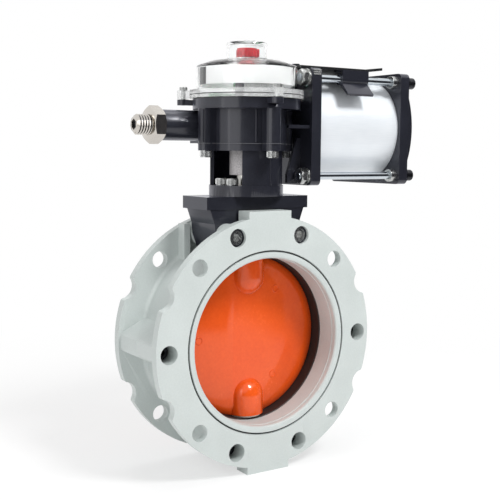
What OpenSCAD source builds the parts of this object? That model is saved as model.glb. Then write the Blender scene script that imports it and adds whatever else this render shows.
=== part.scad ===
// Wafer butterfly valve, 150 mm bore, turned by a pneumatic rack and pinion cylinder.
// X runs along the cylinder, Y along the pipe and Z up. The origin is the centre of the
// front flange's bolt circle, on the face that meets the pipe.

/* [Body] */
// Distance between the two pipe faces
face_to_face = 80; // [76:1:90]
// Bore of the body beside the seat
bore_d = 150; // [146:1:152]
// Outside diameter of the flanges
flange_d = 224; // [222:1:228]
// Thickness of each flange
flange_t = 8; // [7:0.5:10]
// Diameter of the bolt circle
bolt_circle = 200; // [198:1:202]
// Diameter of the pipe bolt holes
bolt_hole_d = 15; // [13:0.5:16]
// Outside diameter of the ring wall between the flanges
ring_d = 176; // [172:1:178]
// Width of the flat tabs at the top and bottom of the flanges
tab_w = 44; // [40:1:50]
// Height of the tab flats above and below the bore's centre
tab_h = 116.5; // [115:0.5:118]
// Depth of the tabs behind the pipe face
tab_depth = 17.5; // [12:0.5:18]
// Radius of the open bolt notches in the flange rim
notch_r = 11.5; // [10:0.5:12]
// Distance from the bore's centre to the centre of a notch
notch_at = 117; // [116:0.5:118]
// Angle of the notches above and below the horizontal
notch_angle = 24.5; // [22:0.5:26]
// Angle of the top and bottom clamp screws from the vertical
clamp_angle = 19.5; // [18:0.5:21]

/* [Disc and stems] */
// Diameter of the disc
disc_d = 148; // [146:0.5:148]
// Thickness of the disc plate
disc_t = 12; // [10:1:14]
// Diameter of the stem hubs on the disc
hub_d = 34; // [32:1:36]
// Diameter of both stems
stem_d = 20; // [18:1:21]
// Radial gap between the disc and the seat
seat_gap = 0.4; // [0.3:0.05:0.6]
// Width of the rubber seat
seat_w = 30; // [28:1:34]
// Thickness of the rubber seat
seat_t = 5; // [4:0.5:6]

/* [Column] */
// Width of the mounting plate
plate_w = 106.5; // [104:0.5:110]
// Depth of the mounting plate
plate_depth = 42.6; // [41:0.2:43]
// Underside of the mounting plate above the bore's centre
plate_z = 117.5; // [117.5:0.5:119]
// Thickness of the mounting plate
plate_t = 11; // [10:0.5:12]
// Outside diameter of the neck
neck_d = 65; // [64:0.5:68]
// Wall of the neck
neck_wall = 3.5; // [3:0.25:4]
// Underside of the top flange above the bore's centre
neck_top = 168.5; // [167:0.5:171]
// Thickness of the neck's top flange
neck_flange_t = 6.5; // [5.5:0.5:7]
// Radius at which the four column screws stand
ear_at = 42; // [41:0.5:43]

/* [Actuator] */
// Height of the gear housing
gear_h = 29.8; // [29:0.2:34]
// Height of the cylinder's axis above the underside of the gear housing
cyl_rise = 15.5; // [15:0.1:16]
// Diameter of the rack bar
rack_d = 22; // [22:0.5:23]
// Distance from the stem to the centre line of the rack bar
rack_offset = 24; // [24:0.5:25]
// Outside diameter of the cylinder barrel
barrel_d = 99; // [97:0.5:100]
// Wall of the cylinder barrel
barrel_wall = 3; // [2.5:0.25:4]
// Visible length of the cylinder barrel
barrel_l = 95.5; // [90:0.5:110]
// How far the square cylinder heads stand out past the barrel on each side
head_edge = 3.5; // [3:0.25:6]
// Thickness of each cylinder head
head_t = 10.5; // [10:0.5:14]
// Distance from the stem to the near face of the front head
head_x = 51.5; // [51.5:0.5:56]
// Distance of the tie rods from the edges of the heads
rod_edge = 8.5; // [8:0.25:10]
// Diameter of the tie rods
rod_d = 7; // [6:0.5:8]
// Outside diameter of the rack tube
tube_d = 27; // [26:0.5:28]
// Distance from the stem to the end of the rack tube
tube_end = 75; // [72:0.5:78]
// Diameter of the stop screw
stop_d = 18; // [16:0.5:18]
// Width across the flats of the stop screw's lock nut
stop_nut_w = 29; // [27:1:31]
// Height of the stop screw's lock nut
stop_nut_h = 11.5; // [10:0.5:14]
// Length of thread that stands out past the lock nut
stop_out = 13.5; // [10:0.5:20]

/* [Switch box] */
// Outside diameter of the box rim
box_d = 96.5; // [94:0.5:98]
// Height of the black base of the box
base_h = 8.8; // [8.4:0.2:12]
// Outside diameter of the clear cover's flange
cover_rim_d = 102; // [100:0.5:102.5]
// Thickness of the clear cover's flange
cover_rim_t = 7.5; // [7:0.5:10]
// Outside diameter of the clear cover
cover_d = 90.5; // [88:0.5:92]
// Height of the clear cover's straight wall above its flange
cover_wall_h = 20.5; // [18:0.5:24]
// Wall of the clear cover
cover_wall = 2.5; // [2:0.25:3]
// Outside diameter of the clear dome
dome_d = 37.5; // [36:0.5:40]
// Height of the clear dome above the cover
dome_h = 16; // [15:0.5:18]
// Diameter of the red position knob
knob_d = 18; // [16:0.5:20]
// Radius at which the three cover screws stand
lug_at = 57; // [56:0.5:58]

/* [Hidden] */
$fn = 96;
eps = 0.01;
// Running clearance of shafts, bolted clearance of screws, and the gap left between loose fits
run = 0.05;
loose = 0.3;

stem_y = face_to_face / 2;
disc_r = disc_d / 2;
seat_r = disc_r + seat_gap;
seat_out_r = seat_r + seat_t;
bore_r = bore_d / 2;
ring_r = ring_d / 2;
flange_r = flange_d / 2;
bolt_r = bolt_circle / 2;

// Rounding of the flange beside each notch, of its tabs and of the bore's lip
notch_round = 3;
lip_r = 80.5;
lip_groove_w = 1.8;
lip_groove_deep = 1.4;
// Fillet between a flange and the ring wall
ring_fillet = 4;
bore_round = 2;

// Clamp screws: shank, head and the deep and shallow recesses
clamp_d = 8;
clamp_head_d = 13;
clamp_head_h = 8;
clamp_recess_d = 16;
clamp_recess_deep = 22;
clamp_thread = 20;
side_boss_out = 110;
side_boss_tip = 7;
side_boss_root = 21;
low_boss_r = 12;
// Step between a round boss and the flat web behind it
relief = 0.4;

// Stem, bush and seal sizes
bush_wall = 3;
bush_out_r = stem_d / 2 + bush_wall;
hub_end = disc_r - 2.5;
washer_t = 1.8;
washer_r = 14.8;
land_r = washer_r + 0.8;
land_z = hub_end + washer_t + loose;
hub_l = 16.5;
stem_in = hub_end - 29.5;
pin_z = stem_in + 16;
pin_blind = 13.5;
pin_sink = 1.5;
seal_deep = 2;
seal_groove = 4;
seal_heights = [112, 122];
drive_w = 14;
pin_d = 6;
boss_w = 50;
boss_depth = 34;
sleeve_wall = 3.5;
boss_top = 110;
low_boss_out = 112;
low_boss_w = 40;
low_web_w = 24;
foot_end = 104;
lower_end = foot_end + 2;
bush_top = boss_top;
bush_bottom = seat_out_r + 2;

// Walls behind the skirt on the rear casting
pocket_x = 46;
pocket_t = 6;
pocket_top = 103;
pocket_sink = 24;

// Skirt under the plate
skirt_depth = 41;
skirt_top_w = 99;
skirt_mid_w = 90;
skirt_mid_z = 105;
skirt_low_w = 88;
skirt_low_z = 95;
skirt_toe_w = 77;
sleeve_r = clamp_recess_d / 2 - loose;
bracket_recess = 3;
bracket_sink = 0.5;

// Neck of the column
plate_top = plate_z + plate_t;
neck_r = neck_d / 2;
neck_in_r = neck_r - neck_wall;
floor_z = 138;
base_ring_r = neck_r + 1;
window_from = 150;
window_to = 231;
window_z = 138;
column_bush_h = 10;
ear_thread = 14;
gear_z = neck_top + neck_flange_t;
base_screw_x = 20.5;
base_screw_y = 9.5;
base_thread = 16;
m6_d = 6;
m6_head_d = 10;
m6_head_h = 6;
m6_free_d = 6.6;
ear_r = 7;

// Coupling between the stem and the pinion
coupling_d = 30;
coupling_gap = 9;
coupling_z = floor_z + coupling_gap;
coupling_top = gear_z - 1;
coupling_grip = 14;
coupling_mid = coupling_z + coupling_grip;

// Gear train
tooth_module = 2;
pinion_teeth = 18;
pitch_r = tooth_module * pinion_teeth / 2;
tip_r = pitch_r + tooth_module;
root_r = pitch_r - 1.25 * tooth_module;
tooth_pitch = PI * tooth_module;
backlash = 0.24;
gear_mid = gear_z + gear_h / 2;
gear_face = 17;
gear_top = gear_z + gear_h;
chamber_r = tip_r + 1.2;
chamber_out_r = 36;
chamber_t = 5;
chamber_floor = gear_z + chamber_t;
chamber_roof = gear_top - chamber_t;
journal_r = 12;
journal_wall = 2.5;
rack_y = stem_y + rack_offset;
rack_r = rack_d / 2;
rack_cut = pitch_r - tooth_module;
rack_root = pitch_r + 1.25 * tooth_module;
travel = pitch_r * PI / 2;
rack_left = -24;
piston_back_gap = 5;
block_w = 30;
funnel = [[-18.5, 0], [-18.5, 14.2], [-7.5, 14.2], [-6, 15.9], [-2, 17.5], [-1, 24], [-0.4, 28],
    [0, 46], [1, 46], [1, 0]];
web_y = 26;
web_t = 3;
gusset_y = 28;
gusset_t = 3.5;
gusset_x = 37;
gusset_h = 10;
gusset_low = 2;
gusset_top = 10;
indicator_r = 4;
indicator_in = 10;
m4_d = 4;
m4_head_d = 7;
m4_head_h = 3;
box_screw_x = 24;
box_screw_y = 14;
box_thread = 5;
piston_cup = 6;
piston_screw_d = 8;
piston_screw_head_r = 7;
piston_screw_head = 5;
hub_r = 14;
rack_seal_l = 5;
rack_flat_l = 72;
rack_gaps = 6;
barrel_seal_t = 1;
plate_thread = 8;
plate_screw_y = [-20, 20];
bracket_edge = 11;
bracket_t = 2.5;
plate_x0 = 46.5;
plate_x1 = 143;
plate_fold = 122;
plate_rise = 2.5;
clip_x = 89;
clip_l = 30.5;
clip_t = 1.8;
flap_out = 13;
flap_drop = 14.5;
screw_head_r = 5.5;
screw_washer = 4;
passage_r = 2;
port_in = 30;
block_left = -36;
block_right = 40;
tube_r = tube_d / 2;
tube_cap = 12;

// Cylinder
cyl_z = gear_z + cyl_rise;
barrel_r = barrel_d / 2;
head_w = barrel_d + 2 * head_edge;
head_bottom = cyl_z - head_w / 2;
bracket_w = head_w - 2 * bracket_edge;
rod_at = head_w / 2 - rod_edge;
barrel_in_r = barrel_r - barrel_wall;
barrel_x = head_x + head_t;
barrel_seat = 4;
rear_x = barrel_x + barrel_l;
rear_end = rear_x + head_t;
// Crowned pad on the outer face of the rear head: its rise at the ends and the middle
pad_low = 2.5;
pad_high = 8.5;
pad_half = 33.5;
pad_side = 4;
head_round = 5;
rod_r = rod_d / 2;
rod_free_r = rod_r + 0.4;
collar_r = 6;
collar_l = 7;
nut_w = 13;
nut_h = 6.5;
nut_gap = 1.6;
nut_bevel = 1.6;
rod_past_nut = 1;
washer_out_r = 8;
screw_head_h = 8;
rear_washer_t = 3;
piston_t = 22;
piston_r = barrel_in_r - 0.4;
piston_x = rear_x - piston_back_gap - piston_t;
ring_w = 4;
ring_deep = 3;
rack_bush_r = 14;
rack_bush_l = 14;
rack_spigot_r = 7;
port_r = 4.2;
port_deep = 9;
port_up = 31;
passage_in = 3.5;

// Switch box
box_r = box_d / 2;
base_z = gear_top;
base_top = base_z + base_h;
gasket_t = 0.6;
rim_z = base_top + gasket_t;
rim_top = rim_z + cover_rim_t;
wall_top = rim_top + cover_wall_h;
cover_r = cover_d / 2;
cover_in_r = cover_r - cover_wall;
shoulder_h = 6.4;
roof_z = wall_top + shoulder_h;
dome_r = dome_d / 2;
dome_top = roof_z + dome_h;
dome_round = 3.5;
lug_r = 5.5;
lug_angles = [40, 144, 264];
lug_h = 5;
lug_screw_d = 4;
lug_head_r = 3.5;
shaft_top = roof_z + 6;
floor_t = 3.5;
card_z = rim_top + 4;
card_sink = 1.2;
card_t = 0.8;
cam_r = 9;
cam_lobe_r = 12;
cam_t = 6;
lower_cam_z = base_z + 9;
upper_cam_z = lower_cam_z + 9;
cam_boss_r = cam_lobe_r - 0.5;
cam_boss_h = 3;
lobe_reach = 2 * cam_lobe_r;
lobe_half = 0.4 * lobe_reach;
sensor_w = 40;
sensor_depth = 14;
sensor_h = 8;
sensor_gap = 0.6;
sensor_sink = 0.5;
sensor_back = stem_y - cam_lobe_r - sensor_gap - sensor_depth;
sensor_plate_t = 2;
terminal_l = 44;
terminal_w = 11;
terminal_h = 12;
terminal_y = 20;
knob_h = 9;

// Turns a profile of radius and distance round the pipe's axis
module around_pipe(profile) {
    rotate([-90, 0, 0])
        rotate_extrude()
            polygon(profile);
}

// Extrudes an outline drawn in X and Z along the pipe, from one Y to another
module along_pipe(from_y, to_y) {
    translate([0, to_y, 0])
        rotate([90, 0, 0])
            linear_extrude(to_y - from_y)
                children();
}

// A rod along the pipe at a place given in X and Z
module pipe_rod(x, z, r, from_y, to_y) {
    translate([x, from_y, z])
        rotate([-90, 0, 0])
            cylinder(r = r, h = to_y - from_y);
}

// A rod along X on the cylinder's side, at a place given from the cylinder's axis
module x_rod(r, from_x, to_x, y = 0, z = 0) {
    translate([from_x, rack_y + y, cyl_z + z])
        rotate([0, 90, 0])
            cylinder(r = r, h = to_x - from_x);
}

// A rod up the stem's axis, or beside it
module stem_rod(r, from_z, to_z, x = 0, y = 0) {
    translate([x, stem_y + y, from_z])
        cylinder(r = r, h = to_z - from_z);
}

// A tube up the stem's axis
module stem_tube(out_r, in_r, from_z, to_z) {
    difference() {
        stem_rod(out_r, from_z, to_z);
        stem_rod(in_r, from_z - 1, to_z + 1);
    }
}

// A tube along the cylinder's axis
module x_tube(out_r, in_r, from_x, to_x) {
    difference() {
        x_rod(out_r, from_x, to_x);
        x_rod(in_r, from_x - 1, to_x + 1);
    }
}

// Puts its children at the four bolt holes of the flange
module at_bolts() {
    for (a = [45:90:315])
        translate([bolt_r * cos(a), 0, bolt_r * sin(a)])
            children();
}

// Places of the four clamp screws that join the two castings
function clamp_place(a) = [bolt_r * cos(a), bolt_r * sin(a)];
clamp_angles = [0, 180, 270 - clamp_angle, 270 + clamp_angle];
bracket_angles = [90 - clamp_angle, 90 + clamp_angle];

// The small crescent that rounds the corner between a notch and the rim
module notch_corner(side) {
    centre_r = flange_r - notch_round;
    gap_r = notch_r + notch_round;
    along = (centre_r * centre_r + notch_at * notch_at - gap_r * gap_r) / (2 * notch_at);
    across = sqrt(centre_r * centre_r - along * along);
    centre = [along, across];
    on_rim = centre * flange_r / centre_r;
    on_notch = [notch_at, 0] + (centre - [notch_at, 0]) * notch_r / gap_r;
    corner = [flange_r + 0.5, (on_rim[1] + on_notch[1]) / 2];
    mirror([0, side, 0])
        difference() {
            polygon([on_rim, corner, on_notch]);
            translate(centre)
                circle(r = notch_round);
        }
}

// Outline of a flange, with its tabs and its four open notches
module flange_outline() {
    difference() {
        union() {
            circle(r = flange_r);
            translate([-tab_w / 2, -tab_h])
                square([tab_w, 2 * tab_h]);
        }
        for (a = [notch_angle, 180 - notch_angle, 180 + notch_angle, 360 - notch_angle])
            rotate(a) {
                translate([notch_at, 0])
                    circle(r = notch_r);
                notch_corner(0);
                notch_corner(1);
            }
    }
}

// Tapered box rib on each side of the ring wall, round a clamp screw
module side_rib(side) {
    root_x = ring_r - 5;
    mirror([side, 0, 0])
        polygon([[root_x, side_boss_root], [side_boss_out - 2, side_boss_tip + 1.5],
            [side_boss_out, side_boss_tip - 1], [side_boss_out, 1 - side_boss_tip],
            [side_boss_out - 2, -side_boss_tip - 1.5], [root_x, -side_boss_root]]);
}

// Solid shape of the front casting before its bores are cut
module half_solid() {
    along_pipe(0, flange_t)
        flange_outline();
    along_pipe(flange_t, stem_y) {
        circle(r = ring_r);
        side_rib(0);
        side_rib(1);
        for (a = [270 - clamp_angle, 270 + clamp_angle])
            rotate(a) {
                translate([bolt_r, 0])
                    circle(r = low_boss_r);
                translate([ring_r - 10, relief - low_boss_r])
                    square([bolt_r - ring_r + 10, 2 * low_boss_r - 2 * relief]);
            }
    }
    // Tabs at the top and bottom
    for (s = [-1, 1])
        translate([-tab_w / 2, flange_t - eps, s > 0 ? foot_end : -tab_h])
            cube([tab_w, tab_depth - flange_t, tab_h - foot_end]);
    // Stiffening web from the lower tab to the ring
    translate([-low_web_w / 2, flange_t - eps, -foot_end - eps])
        cube([low_web_w, tab_depth - flange_t, foot_end - ring_r + 3]);
    // Bosses for the stems
    intersection() {
        stem_rod(low_boss_w / 2, -low_boss_out, -bore_r);
        translate([-low_boss_w, 0, -low_boss_out])
            cube([2 * low_boss_w, stem_y, low_boss_out]);
    }
    translate([-boss_w / 2, stem_y - boss_depth / 2, bore_r - 5])
        cube([boss_w, boss_depth / 2, boss_top - bore_r + 5]);
    // Bosses in front of the skirt, round the bracket screws
    for (a = bracket_angles)
        pipe_rod(clamp_place(a)[0], clamp_place(a)[1], sleeve_r + sleeve_wall, 1, stem_y - skirt_depth / 2);
    flange_fillet();
}

// Hollow round between a flange and the ring wall
module flange_fillet() {
    rotate([-90, 0, 0])
        rotate_extrude()
            difference() {
                translate([ring_r - 1, flange_t - eps])
                    square([ring_fillet + 1, ring_fillet + eps]);
                translate([ring_r + ring_fillet, flange_t + ring_fillet])
                    circle(r = ring_fillet);
            }
}

// Bores that both castings share
module half_cuts() {
    around_pipe([[0, -1], [bore_r + bore_round, -1], [bore_r + bore_round, 0],
        [bore_r + 0.6, 0.7], [bore_r, bore_round],
        [bore_r, stem_y - seat_w / 2], [seat_out_r, stem_y - seat_w / 2],
        [seat_out_r, stem_y + 1], [0, stem_y + 1]]);
    // Groove round the raised lip
    around_pipe([[lip_r, -1], [lip_r + lip_groove_w, -1], [lip_r + lip_groove_w, lip_groove_deep],
        [lip_r, lip_groove_deep]]);
    at_bolts()
        rotate([-90, 0, 0])
            translate([0, 0, -1])
                cylinder(d = bolt_hole_d, h = flange_t + 2);
    // Bores for the stem bushes
    stem_rod(bush_out_r + run, seat_out_r - seat_t / 2, boss_top + 1);
    stem_rod(bush_out_r + run, -lower_end, seat_t / 2 - seat_out_r);
    // Threads for the column's base screws
    for (x = [-base_screw_x, base_screw_x])
        stem_rod(m6_d / 2, boss_top - base_thread, boss_top + 1, x, -base_screw_y);
}
module body_front() {
    color("#cfd8d2")
        difference() {
            half_solid();
            half_cuts();
            for (a = clamp_angles) {
                pipe_rod(clamp_place(a)[0], clamp_place(a)[1], clamp_recess_d / 2, -1, clamp_recess_deep);
                pipe_rod(clamp_place(a)[0], clamp_place(a)[1], clamp_d / 2 + loose, 0, stem_y + 1);
            }
            for (a = bracket_angles)
                pipe_rod(clamp_place(a)[0], clamp_place(a)[1], clamp_recess_d / 2, -1, stem_y + 1);
        }
}

module body_rear() {
    color("#cfd8d2")
        translate([0, face_to_face, 0])
            mirror([0, 1, 0])
                difference() {
                    union() {
                        half_solid();
                        // Walls behind the column's skirt
                        for (s = [0, 1])
                            mirror([s, 0, 0])
                                translate([pocket_x, flange_t - eps, ring_r - pocket_sink])
                                    cube([pocket_t, stem_y - skirt_depth / 2 - loose - flange_t,
                                        pocket_top - ring_r + pocket_sink]);
                    }
                    half_cuts();
                    for (a = clamp_angles)
                        pipe_rod(clamp_place(a)[0], clamp_place(a)[1], clamp_d / 2,
                            stem_y - clamp_thread - 2, stem_y + 1);
                    for (a = bracket_angles)
                        pipe_rod(clamp_place(a)[0], clamp_place(a)[1], clamp_d / 2, 4, stem_y);
                }
}

module seat_ring() {
    color("#2a2523")
        difference() {
            around_pipe([[seat_r, stem_y - seat_w / 2 + 1], [seat_r + 1, stem_y - seat_w / 2],
                [seat_out_r, stem_y - seat_w / 2], [seat_out_r, stem_y + seat_w / 2],
                [seat_r + 1, stem_y + seat_w / 2], [seat_r, stem_y + seat_w / 2 - 1]]);
            stem_rod(stem_d / 2 + run, -seat_out_r - 2, seat_out_r + 2);
            stem_rod(land_r, -land_z, land_z);
        }
}

module disc() {
    half_t = disc_t / 2;
    edge_t = half_t - 2.5;
    color("#f4622a")
        difference() {
            union() {
                translate([0, stem_y, 0])
                    around_pipe([[0, -half_t], [disc_r - 9, -half_t], [disc_r - 5, -edge_t - 1.2],
                        [disc_r - 1, -edge_t], [disc_r, -edge_t + 1],
                        [disc_r, edge_t - 1], [disc_r - 1, edge_t],
                        [disc_r - 5, edge_t + 1.2], [disc_r - 9, half_t], [0, half_t]]);
                for (s = [-1, 1]) {
                    stem_rod(hub_d / 2, s > 0 ? hub_end - hub_l : -hub_end, s > 0 ? hub_end : hub_l - hub_end);
                    translate([0, stem_y, s * (hub_end - hub_l)])
                        sphere(d = hub_d);
                }
            }
            for (s = [-1, 1]) {
                // Flat under the thrust washer, then the stem's blind bore
                stem_rod(land_r + 0.5, s > 0 ? hub_end : -disc_r - 5, s > 0 ? disc_r + 5 : -hub_end);
                stem_rod(stem_d / 2 + run, s > 0 ? stem_in : -disc_r, s > 0 ? disc_r : -stem_in);
            }
            // Blind cross holes for the stem pins, drilled from the rear
            for (z = [-pin_z, pin_z])
                pipe_rod(0, z, pin_d / 2, stem_y - pin_blind, face_to_face);
        }
}

module upper_stem() {
    color("#c3c4c2")
        difference() {
            union() {
                stem_rod(stem_d / 2, stem_in + 0.5, coupling_z + 1);
                translate([-drive_w / 2, stem_y - drive_w / 2, coupling_z])
                    cube([drive_w, drive_w, coupling_mid - coupling_z - 0.5]);
            }
            pipe_rod(0, pin_z, pin_d / 2, 0, face_to_face);
            for (z = seal_heights)
                stem_tube(stem_d, stem_d / 2 - seal_deep, z, z + seal_groove);
        }
}
module lower_stem() {
    color("#c3c4c2")
        difference() {
            stem_rod(stem_d / 2, -lower_end + 1, -stem_in - 0.5);
            pipe_rod(0, -pin_z, pin_d / 2, 0, face_to_face);
        }
}

module stem_pins() {
    color("#9a9c9e")
        for (z = [-pin_z, pin_z])
            pipe_rod(0, z, pin_d / 2 - 0.02, stem_y - pin_blind + pin_sink, stem_y + hub_d / 2 - pin_sink);
}

module upper_bush() {
    color("#b08d57")
        stem_tube(bush_out_r, stem_d / 2 + run, bush_bottom, bush_top);
}

module lower_bush() {
    color("#b08d57")
        stem_tube(bush_out_r, stem_d / 2 + run, -lower_end, -bush_bottom);
}

module stem_seals() {
    color("#1c1c1e")
        for (z = seal_heights)
            stem_tube(stem_d / 2 + run / 2, stem_d / 2 - seal_deep + run, z + 0.3, z + seal_groove - 0.3);
}

module thrust_washers() {
    color("#d8d8d4")
        for (s = [-1, 1])
            stem_tube(washer_r, stem_d / 2 + 0.1, s > 0 ? hub_end : -hub_end - washer_t,
                s > 0 ? hub_end + washer_t : -hub_end);
}

// Socket head cap screw along +Y, with its head's top at the given Y
module pipe_screw(x, z, top_y, reach_y, d, head_d, head_h) {
    difference() {
        union() {
            pipe_rod(x, z, head_d / 2, top_y, top_y + head_h);
            pipe_rod(x, z, d / 2 - run, top_y + head_h - eps, reach_y);
        }
        translate([x, top_y - 1, z])
            rotate([-90, 0, 0])
                cylinder(d = 0.55 * head_d, h = head_h / 2 + 1, $fn = 6);
    }
}

module body_screws() {
    color("#4a4c50")
        for (a = clamp_angles)
            pipe_screw(clamp_place(a)[0], clamp_place(a)[1], clamp_recess_deep - clamp_head_h,
                stem_y + clamp_thread, clamp_d, clamp_head_d, clamp_head_h);
}

module bracket_screws() {
    color("#b9bab8")
        for (a = bracket_angles)
            pipe_screw(clamp_place(a)[0], clamp_place(a)[1], bracket_recess + bracket_sink,
                face_to_face - 6, clamp_d, clamp_head_d - 0.2, clamp_head_h);
}

module column() {
    skirt_front = stem_y - skirt_depth / 2;
    skirt_back = stem_y + skirt_depth / 2;
    color("#2c2e33")
        difference() {
            union() {
                translate([-plate_w / 2, stem_y - plate_depth / 2, plate_z])
                    cube([plate_w, plate_depth, plate_t]);
                along_pipe(skirt_front, skirt_back)
                    difference() {
                        polygon([[-skirt_top_w / 2, plate_z + eps], [-skirt_mid_w / 2, skirt_mid_z],
                            [-skirt_low_w / 2, skirt_low_z], [-skirt_toe_w / 2, ring_r - 8],
                            [skirt_toe_w / 2, ring_r - 8], [skirt_low_w / 2, skirt_low_z],
                            [skirt_mid_w / 2, skirt_mid_z], [skirt_top_w / 2, plate_z + eps]]);
                        circle(r = ring_r + loose);
                    }
                // Sleeves that reach into the front flange round the bracket screws
                for (a = bracket_angles)
                    pipe_rod(clamp_place(a)[0], clamp_place(a)[1], sleeve_r, bracket_recess, skirt_front + 1);
                stem_rod(neck_r, plate_top - eps, neck_top + eps);
                stem_rod(base_ring_r, plate_top - eps, floor_z);
                // Top flange and the four ears for its screws
                stem_rod(chamber_out_r, neck_top, gear_z);
                for (a = [0:90:270])
                    rotate_ear(a)
                        ear(neck_top, gear_z);
            }
            // Pocket over the stem boss of the body
            translate([-boss_w / 2 - loose, stem_y - boss_depth / 2 - loose, 0])
                cube([boss_w + 2 * loose, boss_depth + 2 * loose, boss_top]);
            // Inside of the neck, and the window in its side
            stem_rod(neck_in_r, floor_z, gear_z + 1);
            translate([0, stem_y, window_z])
                linear_extrude(neck_top - window_z)
                    polygon([[0, 0], neck_d * [cos(window_from), sin(window_from)], [-neck_d, 0],
                        neck_d * [cos(window_to), sin(window_to)]]);
            // Stem bore and the seat of its upper bush
            stem_rod(stem_d / 2 + run, boss_top - 1, floor_z + 1);
            stem_rod(bush_out_r + run, floor_z - column_bush_h, floor_z + 1);
            for (x = [-base_screw_x, base_screw_x], y = [-base_screw_y, base_screw_y])
                stem_rod(m6_free_d / 2, boss_top - 1, floor_z + 1, x, y);
            for (a = [0:90:270])
                stem_rod(m6_free_d / 2, neck_top - 1, gear_z + 1, ear_at * cos(a), ear_at * sin(a));
            // Holes and head seats of the bracket screws
            for (a = bracket_angles) {
                pipe_rod(clamp_place(a)[0], clamp_place(a)[1], clamp_d / 2 + loose, 0, face_to_face);
                pipe_rod(clamp_place(a)[0], clamp_place(a)[1], clamp_head_d / 2, 0,
                    bracket_recess + bracket_sink + clamp_head_h);
            }
        }
}

// Turns its children about the stem's axis
module rotate_ear(a) {
    translate([0, stem_y, 0])
        rotate(a)
            translate([0, -stem_y, 0])
                children();
}

// One ear on the +X side, joined to the round wall behind it
module ear(from_z, to_z) {
    stem_rod(ear_r, from_z, to_z, ear_at, 0);
    translate([chamber_out_r - 6, stem_y - ear_r + relief, from_z])
        cube([ear_at - chamber_out_r + 6, 2 * ear_r - 2 * relief, to_z - from_z]);
}

module column_bush() {
    color("#b08d57")
        stem_tube(bush_out_r, stem_d / 2 + run, floor_z - column_bush_h, floor_z);
}

// Socket head cap screw that stands on its thread, head up, or head down when flipped
module stem_screw(x, y, seat_z, thread_l, d, head_d, head_h, flip = 0) {
    translate([x, stem_y + y, seat_z])
        mirror([0, 0, flip])
            difference() {
                union() {
                    cylinder(d = head_d, h = head_h);
                    translate([0, 0, -thread_l])
                        cylinder(d = d - 2 * run, h = thread_l + eps);
                }
                translate([0, 0, head_h / 2])
                    cylinder(d = 0.55 * head_d, h = head_h, $fn = 6);
            }
}

module column_base_screws() {
    color("#d0d0cc")
        for (x = [-base_screw_x, base_screw_x], y = [-base_screw_y, base_screw_y])
            stem_screw(x, y, floor_z, floor_z - boss_top + base_thread - 2, m6_d, m6_head_d, m6_head_h);
}

module column_top_screws() {
    color("#d0d0cc")
        for (a = [0:90:270])
            stem_screw(ear_at * cos(a), ear_at * sin(a), neck_top, neck_flange_t + ear_thread - 2,
                m6_d, m6_head_d, m6_head_h, 1);
}

module coupling() {
    color("#a9a7a4")
        difference() {
            stem_rod(coupling_d / 2, coupling_z, coupling_top);
            translate([-drive_w / 2 - run, stem_y - drive_w / 2 - run, coupling_z - 1])
                cube([drive_w + 2 * run, drive_w + 2 * run, coupling_top - coupling_z + 2]);
            stem_rod(stem_d / 2 + run, coupling_z - 1, coupling_z + 1.2);
        }
}

// Square with round corners, made of true arcs
module rounded_square(w, r) {
    square([w - 2 * r, w], center = true);
    square([w, w - 2 * r], center = true);
    for (x = [-1, 1], y = [-1, 1])
        translate([x * (w / 2 - r), y * (w / 2 - r)])
            circle(r = r);
}

// Slab across the cylinder from one X to another
module head_slab(from_x, to_x, w, r) {
    translate([from_x, rack_y, cyl_z])
        rotate([90, 0, 90])
            linear_extrude(to_x - from_x)
                rounded_square(w, r);
}

// Holes that both heads share: tie rods and the air port with its passage
module head_cuts(from_x, to_x, passage_x) {
    for (y = [-rod_at, rod_at], z = [-rod_at, rod_at])
        x_rod(rod_free_r, from_x - 1, to_x + 1, y, z);
    // The passage keeps to the side of the port that is clear of the barrel's groove
    clear_x = passage_x > from_x ? from_x + passage_in : to_x - passage_in;
    translate([(from_x + to_x) / 2, rack_y + head_w / 2 - port_deep, cyl_z + port_up])
        rotate([-90, 0, 0])
            cylinder(r = port_r, h = port_deep + 1);
    translate([clear_x, rack_y + port_in, cyl_z + port_up])
        rotate([-90, 0, 0])
            cylinder(r = passage_r, h = head_w / 2 - port_in - port_deep + 1);
    x_rod(passage_r, min(clear_x, passage_x), max(clear_x, passage_x), port_in, port_up);
}

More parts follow.
